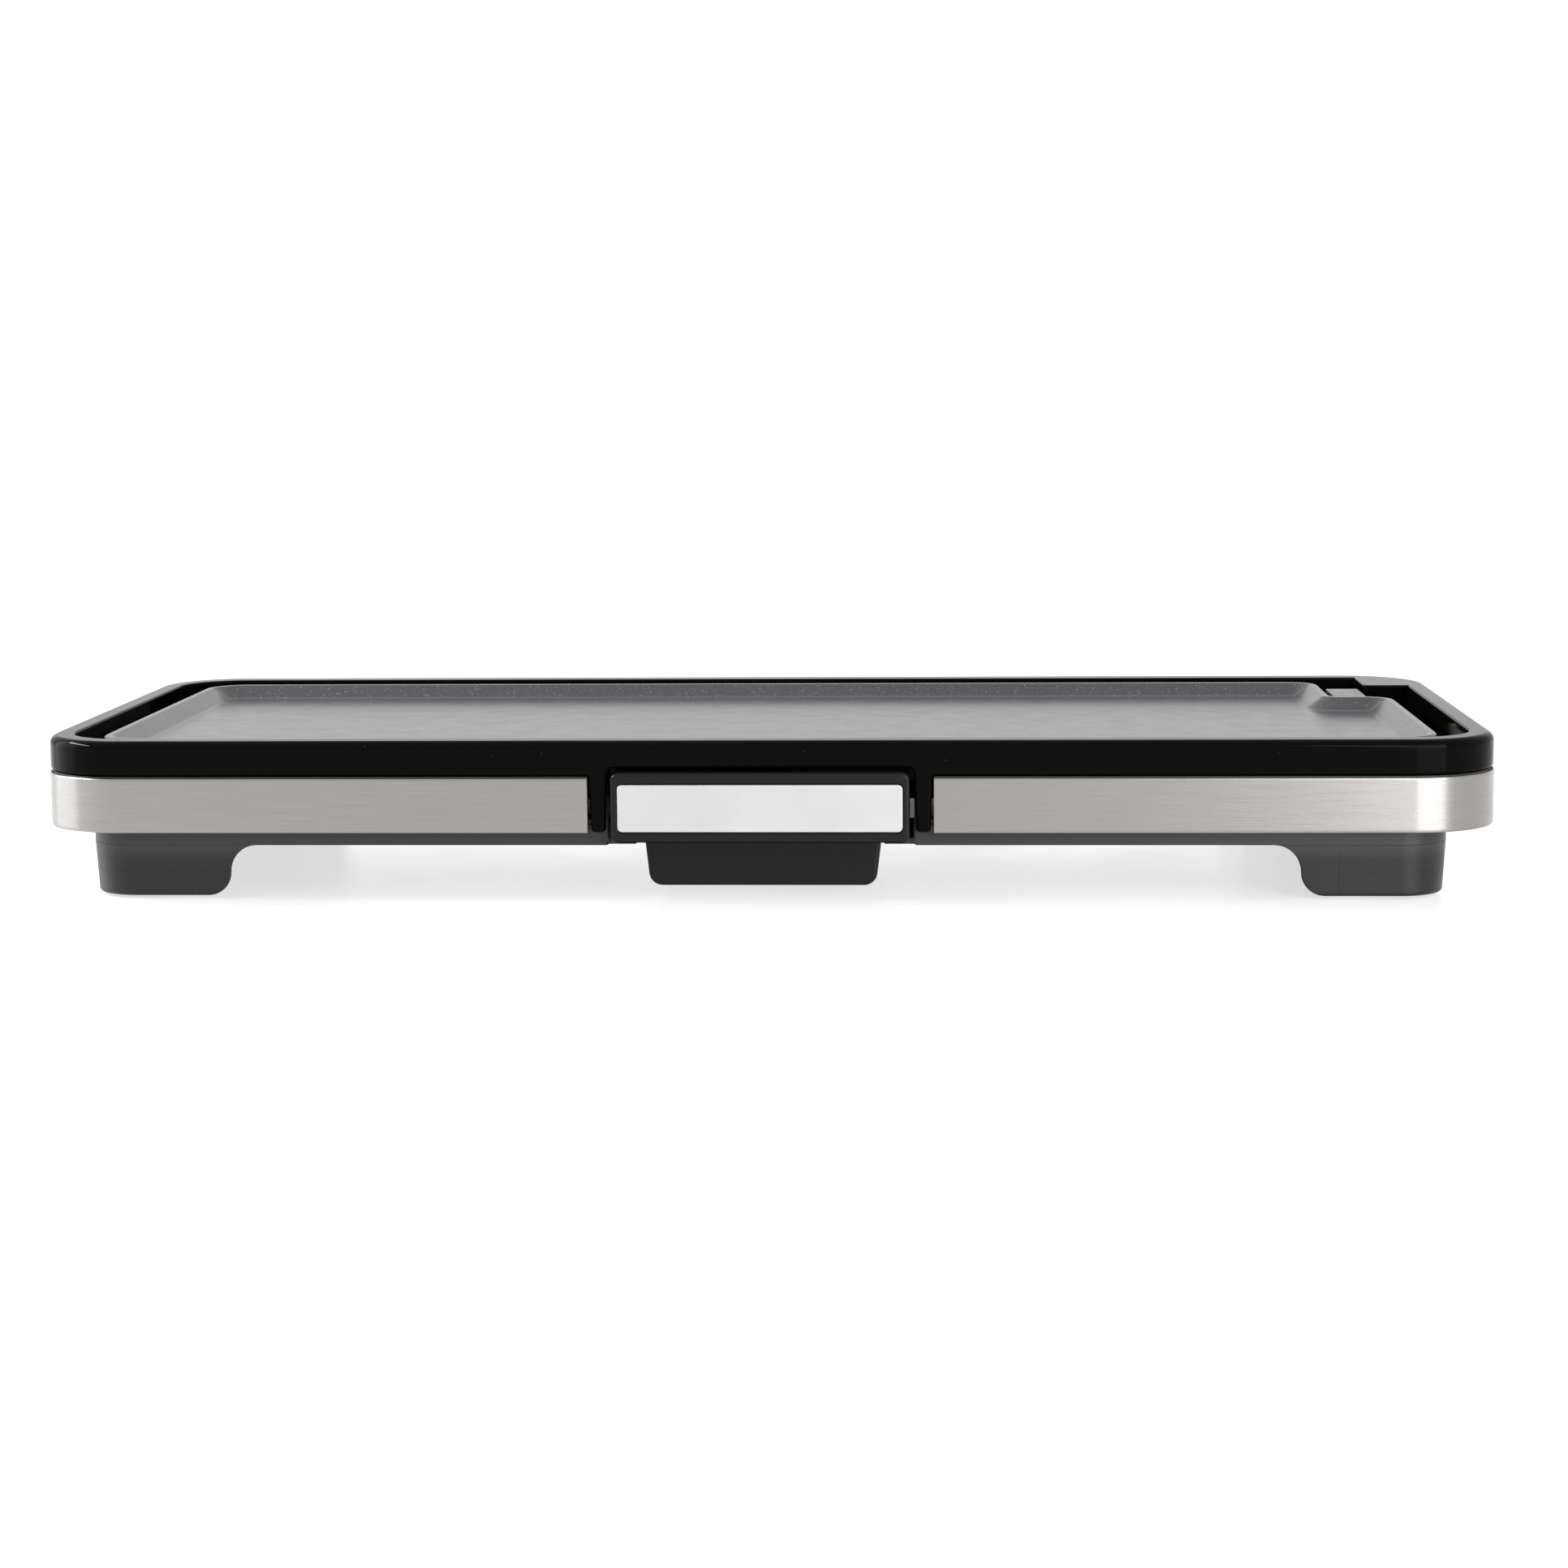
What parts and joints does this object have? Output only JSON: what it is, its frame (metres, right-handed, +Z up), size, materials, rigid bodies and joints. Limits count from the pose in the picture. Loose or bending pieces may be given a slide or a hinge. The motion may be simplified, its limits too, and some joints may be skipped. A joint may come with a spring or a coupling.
{
  "type": "electric griddle",
  "caption": "Long table griddle with a loose non-stick plate in a gloss frame, steel side bands, a front drip drawer and a plug-in temperature controller.",
  "frame": {"origin": "on the table, under the middle of the bounding box of the griddle with its controller plugged in", "axes": "+X to the right along the length, +Y from the drawer side to the rear, +Z up"},
  "size_m": [0.5906, 0.3256, 0.0648],
  "materials": {
    "gloss_black_plastic": "high gloss black moulding",
    "charcoal_plastic": "fine satin charcoal moulding",
    "satin_black_plastic": "satin black moulding",
    "satin_grey_plastic": "heat-proof satin grey moulding",
    "brushed_band": "stainless strip brushed along its length",
    "satin_silver": "satin silver panel",
    "nonstick_cast": "cast plate with a dark grey speckled non-stick coating",
    "foot_rubber": "dull black rubber",
    "rest_silicone": "dull red-brown silicone",
    "zinc_steel": "zinc-plated steel",
    "sheet_aluminium": "plain rolled sheet",
    "element_sheath": "heat-darkened steel sheath",
    "ceramic_body": "unglazed cream ceramic",
    "terminal_brass": "plain brass",
    "lamp_lens": "clear red lens"
  },
  "bodies": {
    "base": {"base_housing": "charcoal_plastic", "side_shell": "charcoal_plastic", "top_frame": "gloss_black_plastic", "steel_band_left": "brushed_band", "steel_band_right": "brushed_band", "heat_shield": "sheet_aluminium", "grease_chute": "sheet_aluminium", "tray_rail_left": "zinc_steel", "tray_rail_right": "zinc_steel", "tray_latch_spring": "zinc_steel", "latch_screw": "zinc_steel", "leg_front_left": "charcoal_plastic", "rubber_foot_front_left": "foot_rubber", "plate_rest_front_left": "rest_silicone", "shield_screw_front_left": "zinc_steel", "frame_screw_front_left": "zinc_steel", "leg_front_right": "charcoal_plastic", "rubber_foot_front_right": "foot_rubber", "plate_rest_front_right": "rest_silicone", "shield_screw_front_right": "zinc_steel", "frame_screw_front_right": "zinc_steel", "leg_rear_left": "charcoal_plastic", "rubber_foot_rear_left": "foot_rubber", "plate_rest_rear_left": "rest_silicone", "shield_screw_rear_left": "zinc_steel", "frame_screw_rear_left": "zinc_steel", "leg_rear_right": "charcoal_plastic", "rubber_foot_rear_right": "foot_rubber", "plate_rest_rear_right": "rest_silicone", "shield_screw_rear_right": "zinc_steel", "frame_screw_rear_right": "zinc_steel", "heating_element": "element_sheath", "element_bracket_left": "sheet_aluminium", "element_bracket_middle": "sheet_aluminium", "element_bracket_right": "sheet_aluminium", "terminal_block": "ceramic_body", "terminal_hood": "satin_grey_plastic", "thermal_cutout": "ceramic_body", "earth_strap": "zinc_steel", "terminal_pin_left": "terminal_brass", "terminal_pin_right": "terminal_brass"},
    "plate": {"griddle_plate": "nonstick_cast"},
    "tray": {"drip_tray": "satin_black_plastic", "tray_front": "satin_black_plastic", "tray_insert": "satin_silver", "tray_screw_left": "zinc_steel", "tray_screw_right": "zinc_steel"},
    "controller": {"controller_lower": "satin_black_plastic", "controller_upper": "satin_black_plastic", "controller_screw_left": "zinc_steel", "controller_screw_right": "zinc_steel", "contact_left": "terminal_brass", "contact_right": "terminal_brass", "temperature_probe": "zinc_steel", "thermostat_switch": "ceramic_body", "pilot_lamp_lens": "lamp_lens", "cord_gland": "foot_rubber"},
    "dial": {"control_dial": "satin_black_plastic", "dial_spindle": "zinc_steel"}
  },
  "joints": [
    {"name": "plate_lift", "type": "slide", "parent": "base", "child": "plate", "axis": [0, 0, 1], "range_m": [0, 0.12]},
    {"name": "tray_slide", "type": "slide", "parent": "base", "child": "tray", "axis": [0, -1, 0], "range_m": [0, 0.105]},
    {"name": "controller_plug", "type": "slide", "parent": "base", "child": "controller", "axis": [0, 1, 0], "range_m": [0, 0.125]},
    {"name": "dial_turn", "type": "hinge", "parent": "controller", "child": "dial", "pos_m": [0.242, 0.13275, 0.05], "axis": [0, 0, -1], "range_deg": [0, 270]}
  ]
}
